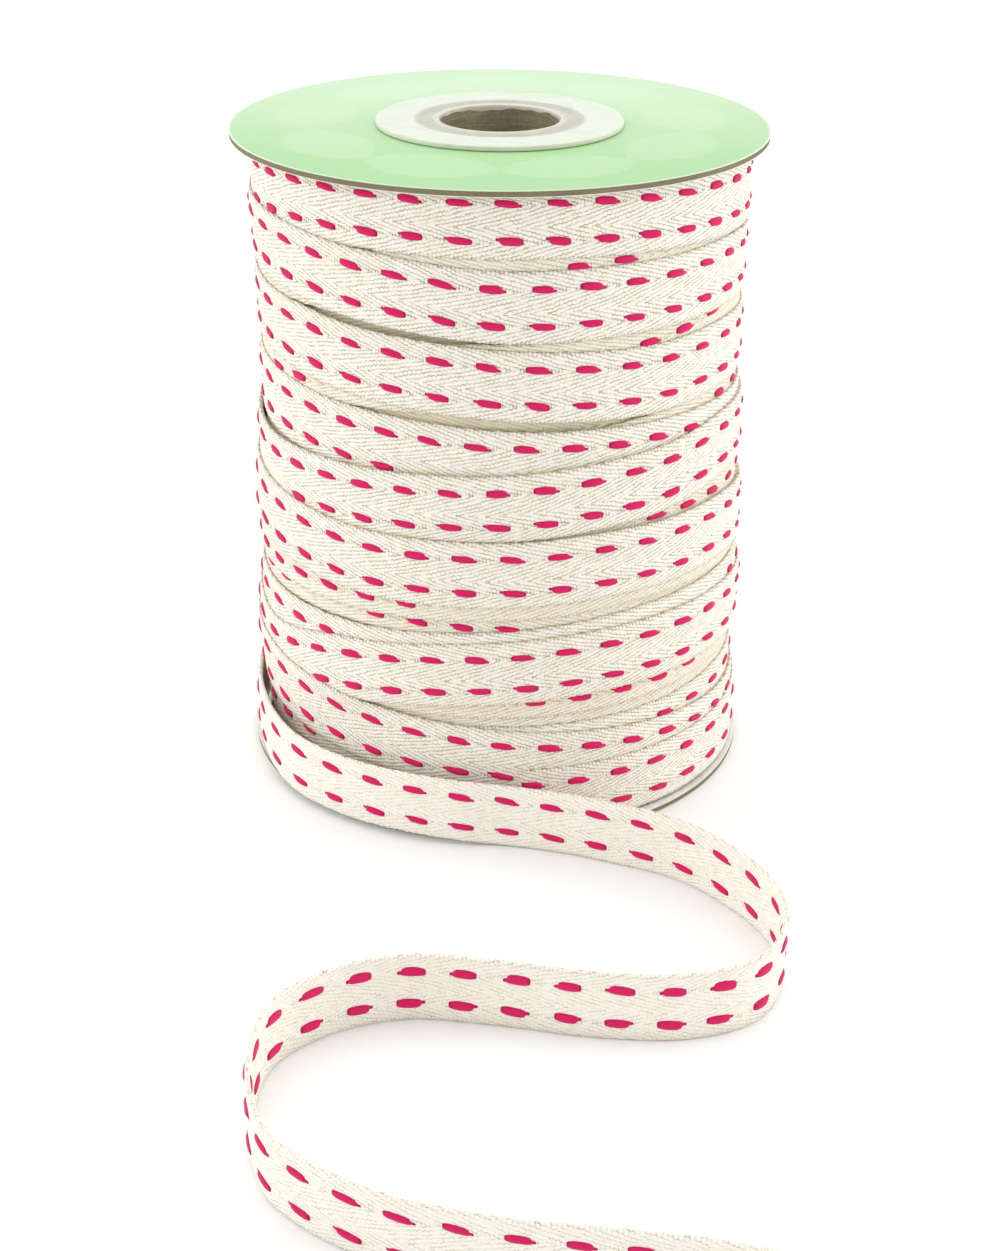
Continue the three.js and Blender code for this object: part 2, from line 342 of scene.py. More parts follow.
class Cloth:
    """A length of ribbon: its outer face as a grid, its normals, and distances along it."""

    def __init__(self, outer, along, closed=False):
        self.outer = outer
        self.along = along
        self.closed = closed
        self.normal = self.find_normals()
        self.crease = np.zeros(outer.shape[:2])

    def find_normals(self):
        if self.closed:
            forward = np.roll(self.outer, -1, 0) - np.roll(self.outer, 1, 0)
        else:
            forward = np.gradient(self.outer, axis=0)
        upward = np.gradient(self.outer, axis=1)
        normal = np.cross(forward, upward)
        return normal / np.linalg.norm(normal, axis=2, keepdims=True)

    def at(self, distance, height):
        """Points and outward normals of the cloth's outer face."""
        i, s = cell_and_share(self.along[: len(self.outer)], distance)
        k, t = cell_and_share(ACROSS, height)
        s, t = s[:, None], t[:, None]

        def blended(grid):
            lower = grid[i, k] * (1 - s) + grid[i + 1, k] * s
            upper = grid[i, k + 1] * (1 - s) + grid[i + 1, k + 1] * s
            return lower * (1 - t) + upper * t

        return blended(self.outer), blended(self.normal)

    def section_loops(self, thickness):
        """The closed section at each station, and the distance across of each of its points."""
        outer = self.outer - self.normal * EDGE_DROP[None, :, None]
        k, t = cell_and_share(ACROSS, INNER_ACROSS)
        t = t[:, None]
        point = self.outer[:, k] * (1 - t) + self.outer[:, k + 1] * t
        normal = self.normal[:, k] * (1 - t) + self.normal[:, k + 1] * t
        loops = np.concatenate((outer, point - normal * thickness), 1)
        return loops, np.concatenate((ACROSS, INNER_ACROSS))


def to_row(points):
    """Millimetres in the spool's frame to metres in the part's frame."""
    moved = np.array(points, float)
    moved[..., 1] += AXIS_Y
    return moved * MM


def new_mesh(name, vertices, faces, uv, crease=None):
    """A smooth mesh with its UVs, and how deep each of its points lies between two turns, which sets
    its painted shade.
    """
    mesh = bpy.data.meshes.new(name)
    mesh.from_pydata(to_row(vertices).tolist(), [], faces)
    layer = mesh.uv_layers.new(name="ClothMap")
    layer.uv.foreach_set("vector", np.asarray(uv, np.float32).ravel())
    if crease is not None:
        depth = mesh.attributes.new("Crease", "FLOAT", "POINT")
        depth.data.foreach_set("value", np.asarray(crease, np.float32))
    mesh.polygons.foreach_set("use_smooth", np.ones(len(mesh.polygons), bool))
    mesh.update()
    piece = bpy.data.objects.new(name, mesh)
    bpy.context.scene.collection.objects.link(piece)
    return piece


def strip_parts(cloth, thickness, base=0):
    """Vertices, faces and UVs of one length of ribbon as a closed skin."""
    loops, across = cloth.section_loops(thickness)
    stations, count = loops.shape[:2]
    along = np.asarray(cloth.along)
    spans = stations if cloth.closed else stations - 1
    i = np.repeat(np.arange(spans), count)
    k = np.tile(np.arange(count), spans)
    j = (i + 1) % stations
    n = (k + 1) % count
    faces = np.stack((i * count + k, j * count + k, j * count + n, i * count + n), 1) + base
    ends = along[i + 1]
    uv = np.stack(
        (along[i], across[k], ends, across[k], ends, across[n], along[i], across[n]), 1
    ).reshape(-1, 2)
    faces = faces.tolist()
    if not cloth.closed:
        last = (stations - 1) * count
        faces.append([base + m for m in range(count)])
        faces.append([base + last + m for m in reversed(range(count))])
        uv = np.vstack((uv, [(along[0], across[m]) for m in range(count)]))
        uv = np.vstack((uv, [(along[-1], across[m]) for m in reversed(range(count))]))
    return loops.reshape(-1, 3), faces, uv


def ribbon_piece(name, cloths, thickness, material, *nodes):
    """Lengths of ribbon as one piece, which may stand for nodes of the frame."""
    vertices, faces, uvs, creases = [], [], [], []
    base = 0
    nearest = [int(np.argmin(np.abs(ACROSS - height))) for height in INNER_ACROSS]
    for cloth in cloths:
        points, quads, uv = strip_parts(cloth, thickness, base)
        vertices.append(points)
        faces += quads
        uvs.append(uv)
        creases.append(np.concatenate((cloth.crease, cloth.crease[:, nearest]), 1).ravel())
        base += len(points)
    piece = new_mesh(name, np.vstack(vertices), faces, np.vstack(uvs), np.concatenate(creases))
    dress(piece, material, "cotton", *nodes)
    return piece


def scalloped(heights, along):
    """Heights across the ribbon with the small scallops of its two woven edges."""
    waves = []
    for shift in (0.0, 2.1):
        wander = 1.6 * np.sin(along / 3.7 + shift) + 0.9 * np.sin(along / 1.9 + 2 * shift)
        waves.append(0.06 * np.sin(2 * math.pi * along / 1.15 + wander) + 0.03 * np.sin(along * 1.7))
    share = np.clip((np.abs(ACROSS) - SCALLOP_FROM) / SCALLOP_WIDTH, 0, 1)
    return heights + np.where(ACROSS > 0, waves[0][:, None], waves[1][:, None]) * share


def wound_cloth(angles, middles, outer, closed=False):
    """A stretch of the winding as a cloth, its upper margin bent in under the upper disc."""
    a = np.radians(angles)[:, None]
    step = np.radians(abs(angles[1] - angles[0]))
    mean = outer.mean(1)
    along = np.concatenate(([0], np.cumsum(step * mean)))[: len(angles)]
    heights = scalloped(middles[:, None] + ACROSS[None, :], along)
    ceiling = WOUND_TOP - DISC_ROOM
    excess = np.maximum(0, heights - ceiling)
    squeezed = ceiling + SQUEEZE * np.tanh(excess / SQUEEZE_SOFTNESS)
    heights = np.where(excess > 0, squeezed, heights)
    heights = np.maximum(heights, WOUND_BOTTOM - 0.05)
    radius = outer - BENT_IN * np.maximum(0, excess - BENT_FROM)
    points = np.stack((radius * np.sin(a), -radius * np.cos(a), heights), 2)
    if closed:
        along = np.append(along, along[-1] + step * mean[-1])
    return Cloth(points, along, closed)


def ring_course(middles, sides):
    """A turn of the layer below, closed on itself at the back."""
    angles = np.arange(RING_STEPS) * 360 / RING_STEPS - 180
    around = []
    for values in (middles, side_radii(sides)):
        knots = []
        for turn in (-360, 0, 360):
            knots += [(turn + a, value) for a, value in zip(FRONT_ANGLES, values)]
        around.append(smooth_through(knots, angles))
    return angles, around[0], around[1]


def smooth_route():
    """The loose ribbon's middle surface seen from above and its lift, evenly spaced."""
    places = []
    for angle, radius, lift in LETTING_OUT:
        a = math.radians(angle)
        places.append((radius * math.sin(a), -radius * math.cos(a), lift))
    places += [(x, y, 0.0) for x, y in FREE_ROUTE]
    p = np.array(places)
    p = np.vstack((2 * p[0] - p[1], p, 2 * p[-1] - p[-2]))
    fine = []
    for i in range(1, len(p) - 2):
        d0, d1, d2 = (math.sqrt(np.linalg.norm(p[i + n] - p[i + n - 1])) for n in (0, 1, 2))
        leave = (p[i] - p[i - 1]) / d0 - (p[i + 1] - p[i - 1]) / (d0 + d1) + (p[i + 1] - p[i]) / d1
        reach = (p[i + 1] - p[i]) / d1 - (p[i + 2] - p[i]) / (d1 + d2) + (p[i + 2] - p[i + 1]) / d2
        t = np.linspace(0, 1, ROUTE_STEPS, endpoint=False)[:, None]
        t2, t3 = t * t, t * t * t
        fine.append(
            (2 * t3 - 3 * t2 + 1) * p[i] + (t3 - 2 * t2 + t) * d1 * leave
            + (3 * t2 - 2 * t3) * p[i + 1] + (t3 - t2) * d1 * reach
        )
    fine = np.vstack(fine + [p[-2:-1]])
    length = np.concatenate(([0], np.cumsum(np.linalg.norm(np.diff(fine[:, :2], axis=0), axis=1))))
    count = int(round(length[-1] / TAIL_STEP))
    even = np.linspace(0, length[-1], count + 1)
    return np.stack([np.interp(even, length, fine[:, n]) for n in range(3)], 1), even


def loose_cloth(angles, middles, outer, start_along):
    """The last stretch round the back, laid against the roll, and the free ribbon after it."""
    wound = wound_cloth(angles, middles, outer)
    route, even = smooth_route()
    forward = np.gradient(route[:, :2], axis=0)
    forward /= np.linalg.norm(forward, axis=1, keepdims=True)
    outward = np.stack((forward[:, 1], -forward[:, 0]), 1)
    skin = route[:, :2] + outward * TAIL_HALF_THICKNESS
    fade = np.exp(-(even / 9.0) ** 2)[:, None]
    proud = (outer[-1] - outer[-1].min())[None, :] * fade
    flutter = drift(len(even), TAIL_STEP, (47, 31), 0.22)[:, None] * (ACROSS / RIBBON_HALF) ** 2
    flutter = flutter * (1 - np.exp(-(even / 40.0) ** 2))[:, None]
    proud = proud - np.abs(flutter)
    lift = np.maximum(route[:, 2], 0.0)
    heights = scalloped(lift[:, None] + RIBBON_HALF + ACROSS[None, :], even)
    heights = np.maximum(heights, AIR)
    plan = skin[:, None, :] + outward[:, None, :] * proud[:, :, None]
    free = np.concatenate((plan, heights[:, :, None]), 2)
    points = np.concatenate((wound.outer[:-1], free), 0)
    leaving = start_along + wound.along[-1]
    along = np.concatenate((start_along + wound.along[:-1], leaving + even))
    return Cloth(points, along), leaving


# Stitches

# A stitch's section by its place from the blunt end (-1) to the end that dips in (1):
# its width and its rise, each as a share of the full one
STITCH_SHAPE = (
    (-1.0, 0.45, 0.1), (-0.9, 0.74, 0.6), (-0.6, 0.96, 0.95), (-0.1, 1.04, 1.0),
    (0.4, 0.96, 0.95), (0.64, 0.76, 0.75), (0.74, 0.42, 0.4), (1.0, 0.3, 0.1),
)
STITCH_ARC = (180, 145, 90, 35, 0, -90)
STITCH_RISE = 0.32
# The thread lies broader on the ribbon's other face
REVERSE_WIDTH = 1.3


def stitch_form(length, height, slant, upper):
    """One stitch: places along and across the ribbon, and its rise, in mm, ring by ring."""
    rows = []
    for t, width, lift in STITCH_SHAPE:
        half = height / 2 * width
        place = t if upper else -t
        dip = (1 - width) * height / 2 * 0.5
        centre = -slant * place * length / 2 - (dip if upper else -dip) * (t > 0)
        for angle in STITCH_ARC:
            a = math.radians(angle)
            rise = STITCH_RISE * lift * math.sin(a) if angle >= 0 else -0.12
            rows.append((place * length / 2, centre + half * math.cos(a), rise))
    rows = np.array(rows)
    return rows if upper else rows.reshape(len(STITCH_SHAPE), -1, 3)[::-1].reshape(-1, 3)


def stitch_faces():
    count = len(STITCH_ARC)
    faces = []
    for i in range(len(STITCH_SHAPE) - 1):
        for k in range(count):
            n = (k + 1) % count
            faces.append((i * count + k, i * count + n, (i + 1) * count + n, (i + 1) * count + k))
    last = (len(STITCH_SHAPE) - 1) * count
    faces.append(tuple(reversed(range(count))))
    faces.append(tuple(last + k for k in range(count)))
    return faces


class Stitches:
    """Gathers many stitches into one mesh."""

    def __init__(self, settings):
        self.length = settings.stitch_length / MM
        self.height = settings.stitch_height / MM
        self.faces_of_one = stitch_faces()
        self.vertices, self.faces, self.uvs = [], [], []
        self.count = 0

    def sew(self, cloth, distance, row, side=1, thickness=0.0):
        length = self.length * rng.uniform(0.93, 1.07)
        height = self.height * rng.uniform(0.9, 1.1) * (1.0 if side > 0 else REVERSE_WIDTH)
        slant = 0.06 + rng.uniform(-0.05, 0.05)
        form = stitch_form(length, height, slant * side, row > 0)
        along = distance + rng.uniform(-0.12, 0.12) + form[:, 0]
        across = row + rng.uniform(-0.08, 0.08) + form[:, 1]
        point, normal = cloth.at(along, across)
        if side < 0:
            point = point - normal * thickness
            normal = -normal
        base = self.count * len(form)
        self.vertices.append(point + normal * form[:, 2:3])
        u = form[:, 0] / length + 0.5
        v = form[:, 1] / height + 0.5
        for face in self.faces_of_one:
            turned = face if side > 0 else face[::-1]
            self.faces.append([base + f for f in turned])
            self.uvs += [(u[f] + 2 * (self.count % 7), v[f]) for f in turned]
        self.count += 1

    def piece(self, name, material):
        piece = new_mesh(name, np.vstack(self.vertices), self.faces, self.uvs)
        dress(piece, material, "cotton")


# Materials


class Value:
    """A number or colour in a material: sums and products with it become nodes."""

    def __init__(self, bench, socket):
        self.bench = bench
        self.socket = socket

    def math(self, operation, *others):
        return self.bench.math(operation, self, *others)

    def __add__(self, other):
        return self.math("ADD", other)

    def __sub__(self, other):
        return self.math("SUBTRACT", other)

    def __rsub__(self, other):
        return self.bench.math("SUBTRACT", other, self)

    def __mul__(self, other):
        return self.math("MULTIPLY", other)

    def __pow__(self, other):
        return self.math("POWER", other)

    def __abs__(self):
        return self.math("ABSOLUTE")

    def arches(self, length=1.0):
        """Goes from 0 to 1 and back over each length."""
        return abs((self * (math.pi / length)).math("SINE"))

    def clipped(self):
        return self.math("MINIMUM", 1.0).math("MAXIMUM", 0.0)

    def mapped(self, low, high, to_low=0.0, to_high=1.0):
        """A smooth step between two values."""
        inputs = {"Value": self, "From Min": low, "From Max": high}
        inputs |= {"To Min": to_low, "To Max": to_high}
        return self.bench.add("MapRange", inputs, interpolation_type="SMOOTHSTEP")


class Bench:
    """A material's node tree and short ways to add to it."""

    def __init__(self, name):
        self.material = bpy.data.materials.new(name)
        self.material.use_nodes = True
        self.nodes = self.material.node_tree.nodes
        self.links = self.material.node_tree.links

    def put(self, socket, value):
        if isinstance(value, Value):
            self.links.new(value.socket, socket)
        elif hasattr(value, "__len__"):
            socket.default_value = (*value, 1)
        else:
            socket.default_value = value

    def add(self, kind, inputs, output=0, **settings):
        """A new node with its inputs and settings, and one of its outputs."""
        node = self.nodes.new("ShaderNode" + kind)
        for name, value in settings.items():
            setattr(node, name, value)
        for key, value in inputs.items():
            self.put(node.inputs[key], value)
        return Value(self, node.outputs[output])

    def math(self, operation, *terms):
        return self.add("Math", dict(enumerate(terms)), operation=operation)

    def object_place(self):
        return self.add("TexCoord", {}, "Object")

    def split(self, place):
        """The three parts of a place."""
        node = self.nodes.new("ShaderNodeSeparateXYZ")
        self.put(node.inputs[0], place)
        return [Value(self, part) for part in node.outputs]

    def cloth_place(self):
        """Distances along and across the ribbon in mm, or along and across a stitch."""
        return self.split(self.add("UVMap", {}, uv_map="ClothMap"))[:2]

    def round_axis(self, place):
        """Distance from the spool's axis in m, and its parts to the right and to the back."""
        x, y, _ = self.split(place)
        y = y - AXIS_Y * MM
        return (x * x + y * y).math("SQRT"), x, y

    def noise(self, place, scale, detail=2.0, roughness=0.5):
        inputs = {"Vector": place, "Scale": scale, "Detail": detail, "Roughness": roughness}
        return self.add("TexNoise", inputs)

    def stretched_noise(self, x, y, z=0.0, detail=3.0, roughness=0.7):
        return self.noise(self.add("CombineXYZ", {0: x, 1: y, 2: z}), 1.0, detail, roughness)

    def mix(self, share, first, second):
        return self.add("Mix", {"Factor": share, 6: first, 7: second}, 2, data_type="RGBA")

    def finish(self, colour, roughness, relief=None, depth=0.0, strength=1.0, **constants):
        """Gives the shader its colour, its roughness and a relief so many metres deep."""
        inputs = self.nodes["Principled BSDF"].inputs
        self.put(inputs["Base Color"], colour)
        self.put(inputs["Roughness"], roughness)
        if relief is not None:
            bump = {"Height": relief, "Distance": depth, "Strength": strength}
            self.put(inputs["Normal"], self.add("Bump", bump))
        for name, value in constants.items():
            inputs[name.replace("_", " ")].default_value = value
        return self.material


# Where the herringbone turns back, across the ribbon, and the measures of its weave in mm
TURN_BACKS = ((-2.8, -1), (-0.7, 1), (2.3, -1))
TWILL_ANGLE = math.radians(16)
TWILL_PITCH = 0.56
FLOAT_PITCH = 0.66
LADDER_PITCH = 0.47
LOOP_PITCH = 0.58


def cotton_material(name, settings, contrast):
    """Herringbone cotton tape, from the real distances along and across the ribbon, with painted shade
    in its weave and between turns.
    """
    bench = Bench(name)
    u, v = bench.cloth_place()
    zigzag = v * 0.0
    for middle, sign in TURN_BACKS:
        zigzag = zigzag + abs(v - middle) * sign
    zigzag = zigzag + (bench.stretched_noise(u * 0.35, v * 0.6, 0, 2.0, 0.5) - 0.5) * 0.7
    steep, flat = math.sin(TWILL_ANGLE), math.cos(TWILL_ANGLE)
    lines = zigzag * (flat / TWILL_PITCH) - u * (steep / TWILL_PITCH)
    floats = u * (flat / FLOAT_PITCH) + zigzag * (steep / FLOAT_PITCH)
    floats = floats + lines.math("FLOOR") * 0.5
    ridge = lines.arches()
    bead = floats.arches()
    valley = 1.0 - ridge
    pinch = 1.0 - bead
    holes = valley ** 1.7 * pinch ** 1.4
    patchy = bench.noise(bench.add("CombineXYZ", {0: u * 0.9, 1: v}), 0.9, 3.0, 0.6)
    patchy = patchy.mapped(0.36, 0.64, 0.15, 1.0)
    fibre = bench.stretched_noise(u * 2.2, v * 5.5)
    slub = bench.stretched_noise(u * 0.22, v * 1.4, 0, 2.0, 0.5)

    from_middle = abs(v)
    row_band = abs(from_middle - ROW_HEIGHT).mapped(0.42, 0.2)
    ladder = (1.0 - u.arches(LADDER_PITCH)) ** 2.0 * row_band * patchy
    loops = from_middle.mapped(4.3, 4.7) * (1.0 - u.arches(LOOP_PITCH))
    edge_line = from_middle.mapped(4.82, 5.0) * 0.45

    # The weave darker in its valleys and holes, beside the stitch rows, between the edge loops and at
    # the very edge: painted shade of the yarns' relief, with a little random fibre tone
    dark = valley ** 1.3 * (pinch * 0.75 + 0.1) * patchy * contrast
    dark = dark + holes * patchy * (2.0 * contrast) + ladder * (0.75 * contrast)
    dark = dark + loops * (0.4 * contrast) + edge_line * contrast + (fibre - 0.5) * 0.3
    colour = bench.mix(slub.mapped(0.3, 0.7), settings.cotton, settings.cotton_warm)
    colour = bench.mix(dark.clipped(), colour, settings.cotton_shade)
    # Painted shade: warmer, darker cotton where a place lies under the edge of the turn above it
    deep = bench.add("Attribute", {}, "Fac", attribute_name="Crease") ** 0.8
    colour = bench.mix(deep * 0.5, colour, settings.cotton_crease_shade)
    relief = ridge ** 0.7 * 0.6 + bead * ridge * 0.4 + fibre * 0.3 + ladder * -0.5 + loops * -0.5
    return bench.finish(
        colour, 0.92, relief, 0.00013, 0.9 * contrast,
        Sheen_Weight=0.1, Sheen_Roughness=0.5, Specular_IOR_Level=0.2,
    )


def thread_material(settings):
    """Two-ply embroidery thread: fine twisted fibres, with painted shade where it dips into the cloth,
    along its sides and between its plies.
    """
    bench = Bench("raspberry_thread")
    u, v = bench.cloth_place()
    dip = abs(u.math("FRACT") - 0.5).mapped(0.36, 0.5)
    side = abs(v - 0.5).mapped(0.25, 0.5)
    strand = (v * 5.0 + u * 2.2).arches()
    hair = bench.stretched_noise(u * 5.0, v * 26.0)
    dark = dip * 0.75 + side * 0.25 + (1.0 - strand) * 0.34 + (hair - 0.5) * 0.9
    colour = bench.mix(dark.clipped(), settings.thread, settings.thread_shade)
    return bench.finish(
        colour, 0.7, strand * 0.7 + hair * 0.5, 0.00006, 0.7,
        Sheen_Weight=0.05, Specular_IOR_Level=0.15,
    )


# The quiet print of the upper disc: petals round a ring, in metres
PETALS = 9
PETAL_RING = 0.0272
PETAL_HALF = 0.0062


def print_material(settings):
    """Coated green print on paper: paler towards the back as painted light on the coated face, with
    fine paper grain under the varnish.
    """
    bench = Bench("mint_print")
    place = bench.object_place()
    from_axis, right, back = bench.round_axis(place)
    cloud = bench.noise(place, 55.0, 3.0, 0.6)
    speck = bench.noise(place, 900.0).mapped(0.62, 0.72)
    # Paler towards the back: painted sheen of the coated face, with random cloud and specks
    share = back.mapped(-0.034, 0.03) * 0.7 + (cloud - 0.5) * 0.35 + speck * 0.10
    colour = bench.mix(share.clipped(), settings.mint, settings.mint_pale)
    petal = right.math("ARCTAN2", back * -1.0).arches(2 * math.pi / PETALS)
    petal = petal ** 0.6 * PETAL_HALF - abs(from_axis - PETAL_RING)
    colour = bench.mix(petal.mapped(-0.0003, 0.0007) * 0.24, colour, settings.mint_pale)
    colour = bench.mix(from_axis.mapped(0.0381, 0.0384) * 0.55, colour, settings.paper)
    return bench.finish(
        colour, cloud.mapped(0.3, 0.7, 0.32, 0.44), bench.noise(place, 2600.0, 2.0, 0.6),
        0.000012, 0.5, Coat_Weight=0.25, Coat_Roughness=0.3,
    )


def paper_material(settings):
    """Uncoated pale liner paper with a little fibre and dust."""
    bench = Bench("white_liner")
    place = bench.object_place()
    fibre = bench.noise(place, 1500.0, 4.0, 0.65)
    stain = bench.noise(place, 60.0, 3.0, 0.6)
    share = fibre.mapped(0.4, 0.7) * 0.25 + stain.mapped(0.45, 0.75) * 0.3
    colour = bench.mix(share, settings.paper, settings.board_pale)
    return bench.finish(colour, 0.8, fibre, 0.00003, 0.6)


def board_material(settings, name, unshaded_share):
    """Grey-brown chipboard: layered along its cut edge, with pale and dark flecks."""
    bench = Bench(name)
    place = bench.object_place()
    x, y, z = bench.split(place)
    layers = bench.stretched_noise(x * 160.0, y * 160.0, z * 7000.0, 3.0, 0.6)
    fibre = bench.noise(place, 1800.0, 4.0, 0.7)
    patch = bench.noise(place, 140.0)
    share = layers.mapped(0.35, 0.68) * 0.5 + fibre.mapped(0.35, 0.7) * 0.35
    # The last argument scales the pale flecks down; below 1 it paints shade over the board
    share = (share + patch.mapped(0.4, 0.7) * 0.25).math("MINIMUM", 1.0) * unshaded_share
    colour = bench.mix(share, settings.board, settings.board_pale)
    return bench.finish(colour, 0.95, layers * 0.6 + fibre * 0.6, 0.00012, 0.9)


def plastic_material(settings):
    """Milky moulded plastic: slightly cloudy, with fine scuffs in its satin face and painted shade
    round its bore.
    """
    bench = Bench("milky_plastic")
    place = bench.object_place()
    from_axis = bench.round_axis(place)[0]
    # Painted shade: the collar greyer over its groove and lip round the bore
    groove_shade = from_axis.mapped(0.0088, 0.0102, 0.5, 1.0) * from_axis.mapped(0.0125, 0.0118)
    thin = from_axis.mapped(0.0160, 0.0177)
    cloud = bench.noise(place, 260.0, 3.0, 0.6)
    scuff = bench.noise(place, 1400.0, 3.0, 0.7)
    share = groove_shade * 0.75 + cloud.mapped(0.4, 0.7) * 0.2
    colour = bench.mix(share, settings.plastic, settings.plastic_groove_shade)
    colour = bench.mix(thin * 0.35, colour, settings.mint_pale)
    return bench.finish(
        colour, scuff.mapped(0.3, 0.7, 0.34, 0.55), scuff, 0.00001, 0.4,
        Subsurface_Weight=0.35, Subsurface_Scale=0.002, Specular_IOR_Level=0.45,
    )


def floor_material():
    """Pale paper sweep with the faintest grain."""
    bench = Bench("studio_floor")
    grain = bench.noise(bench.object_place(), 30.0)
    colour = bench.mix(grain * 0.2, (0.86, 0.87, 0.86), (0.84, 0.85, 0.84))
    return bench.finish(colour, 0.7, Specular_IOR_Level=0.2)


# Modelling with operators


def deselect():
    bpy.ops.object.select_all(action="DESELECT")


def active_only(piece):
    deselect()
    piece.select_set(True)
    bpy.context.view_layer.objects.active = piece


def turned(name, profile, steps):
    """Spins a closed outline of (radius, height) pairs in mm once round the spool's axis."""
    deselect()
    first = profile[0]
    bpy.ops.mesh.primitive_plane_add(size=MM, location=(0, 0, 0))
    piece = bpy.context.active_object
    piece.name = name
    piece.data.name = name
    bpy.ops.object.mode_set(mode="EDIT")
    bpy.ops.mesh.select_all(action="SELECT")
    bpy.ops.mesh.merge(type="CENTER")
    bpy.ops.transform.translate(value=(first[0] * MM, AXIS_Y * MM, first[1] * MM))
    for here, there in zip(profile, profile[1:] + profile[:1]):
        step = ((there[0] - here[0]) * MM, 0, (there[1] - here[1]) * MM)
        bpy.ops.mesh.extrude_region_move(TRANSFORM_OT_translate={"value": step})
    bpy.ops.mesh.select_all(action="SELECT")
    bpy.ops.mesh.remove_doubles(threshold=0.00001)
    bpy.ops.mesh.select_all(action="SELECT")
    bpy.ops.mesh.spin(
        steps=steps, dupli=False, angle=2 * math.pi, center=(0, AXIS_Y * MM, 0), axis=(0, 0, 1)
    )
    bpy.ops.mesh.select_all(action="SELECT")
    bpy.ops.mesh.remove_doubles(threshold=0.000004)
    bpy.ops.mesh.select_all(action="SELECT")
    bpy.ops.mesh.normals_make_consistent(inside=False)
    bpy.ops.object.mode_set(mode="OBJECT")
    bpy.ops.object.shade_smooth_by_angle(angle=math.radians(40))
    return piece


def roughened(piece, size, depth):
    """Uneven edges and faces from a procedural cloud, applied to the mesh."""
    active_only(piece)
    cloud = bpy.data.textures.new(piece.name + "_cloud", "CLOUDS")
    cloud.noise_scale = size * MM
    cloud.noise_depth = 2
    uneven = piece.modifiers.new("Uneven", "DISPLACE")
    uneven.texture = cloud
    uneven.texture_coords = "LOCAL"
    uneven.strength = depth * MM
    uneven.mid_level = 0.5
    bpy.ops.object.modifier_apply(modifier=uneven.name)


def dress(piece, material, body_slot, *nodes):
    """Gives a piece its material, hangs it on the root body, and hides the imported nodes it stands
    for.
    """
    if not piece.data.materials:
        piece.data.materials.append(material)
    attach(piece, "root")
    if nodes:
        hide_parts(*nodes)


# The studio

# The camera's place is in metres in the part's frame, and its turns are in radians
CAMERA_PLACE = (-0.000216, -0.30226 + AXIS_Y * MM, 0.16338)
CAMERA_PITCH = 0.4527
CAMERA_YAW = 0.0026
CAMERA_ROLL = 0.0074
CAMERA_LENS = 60.76
CAMERA_SENSOR = 36
# Name, place in metres, size in metres and power in watts of each soft light
LIGHTS = (
    ("Left window", (-0.75, 0.15, 0.4), 0.7, 2.5),
    ("Right window", (0.8, 0.2, 0.4), 0.7, 3.0),
    ("Overhead", (0.0, 0.3, 1.0), 1.2, 5.0),
)


def camera_turn():
    forward = Vector((
        math.sin(CAMERA_YAW) * math.cos(CAMERA_PITCH),
        math.cos(CAMERA_YAW) * math.cos(CAMERA_PITCH),
        -math.sin(CAMERA_PITCH),
    ))
    right = Vector((math.cos(CAMERA_YAW), -math.sin(CAMERA_YAW), 0))
    up = right.cross(forward)
    c, s = math.cos(CAMERA_ROLL), math.sin(CAMERA_ROLL)
    rolled_right = c * right + s * up
    rolled_up = c * up - s * right
    return Matrix((rolled_right, rolled_up, -forward)).transposed()


def soft_light(name, place, target, size, power):
    """A square area light that faces a target."""
    data = bpy.data.lights.new(name, "AREA")
    data.shape = "RECTANGLE"
    data.size = data.size_y = size
    data.energy = power
    light = bpy.data.objects.new(name, data)
    light.location = place
    light.rotation_mode = "QUATERNION"
    light.rotation_quaternion = (Vector(target) - Vector(place)).to_track_quat("-Z", "Y")
    bpy.context.scene.collection.objects.link(light)


# The add-on


def size(name, description, default):
    return bpy.props.FloatProperty(
        name=name, description=description, default=default, unit="LENGTH", precision=5, min=0
    )


def colour(name, description, default):
    return bpy.props.FloatVectorProperty(
        name=name, description=description, default=default, subtype="COLOR", min=0, max=1
    )


class RibbonRollSettings(bpy.types.PropertyGroup):
    thickness: size("Ribbon thickness", "Thickness of the cotton tape", 0.0006)
    stitch_length: size("Stitch length", "Length of one running stitch", 0.00355)
    stitch_height: size("Stitch height", "Width of the stitching thread", 0.00108)
    cotton: colour("Cotton", "Natural cotton", (0.94, 0.91, 0.835))
    cotton_warm: colour("Warm cotton", "Slubs of warmer cotton", (0.93, 0.88, 0.775))
    # Painted shade: the cotton's colour in the valleys and holes of its weave
    cotton_shade: colour("Cotton shade", "Cotton in the holes of the weave", (0.34, 0.27, 0.14))
    # Painted shade: the colour cotton takes under the edge of the turn above it
    cotton_crease_shade: colour("Deep cotton", "Cotton deep between two turns", (0.80, 0.68, 0.43))
    thread: colour("Thread", "Stitching thread", (0.72, 0.014, 0.135))
    # Painted shade of the thread where it dips into the cloth
    thread_shade: colour("Thread shade", "Stitching thread where it dips", (0.36, 0.006, 0.05))
    mint: colour("Green print", "Printed face of the upper disc", (0.28, 0.53, 0.215))
    mint_pale: colour("Pale green print", "Paler part of the print", (0.52, 0.67, 0.46))
    paper: colour("Liner paper", "Pale face of the discs", (0.82, 0.81, 0.77))
    board: colour("Chipboard", "Cut edge of the discs and the tube", (0.185, 0.15, 0.085))
    board_pale: colour("Pale chipboard", "Paler fibres in the board", (0.38, 0.33, 0.22))
    plastic: colour("Plastic", "Milky collar", (0.60, 0.63, 0.55))
    # Painted shade of the collar round its bore, over its groove and lip
    plastic_groove_shade: colour("Plastic shade", "Collar where it is thin", (0.42, 0.42, 0.34))


class State:
    """What one operator leaves for the next."""

    roll = None
    winding = None
    rings = ()
    tail = None
    tail_start = 0.0


def need(value, what):
    if value is None:
        raise RuntimeError("build the " + what + " first")
    return value


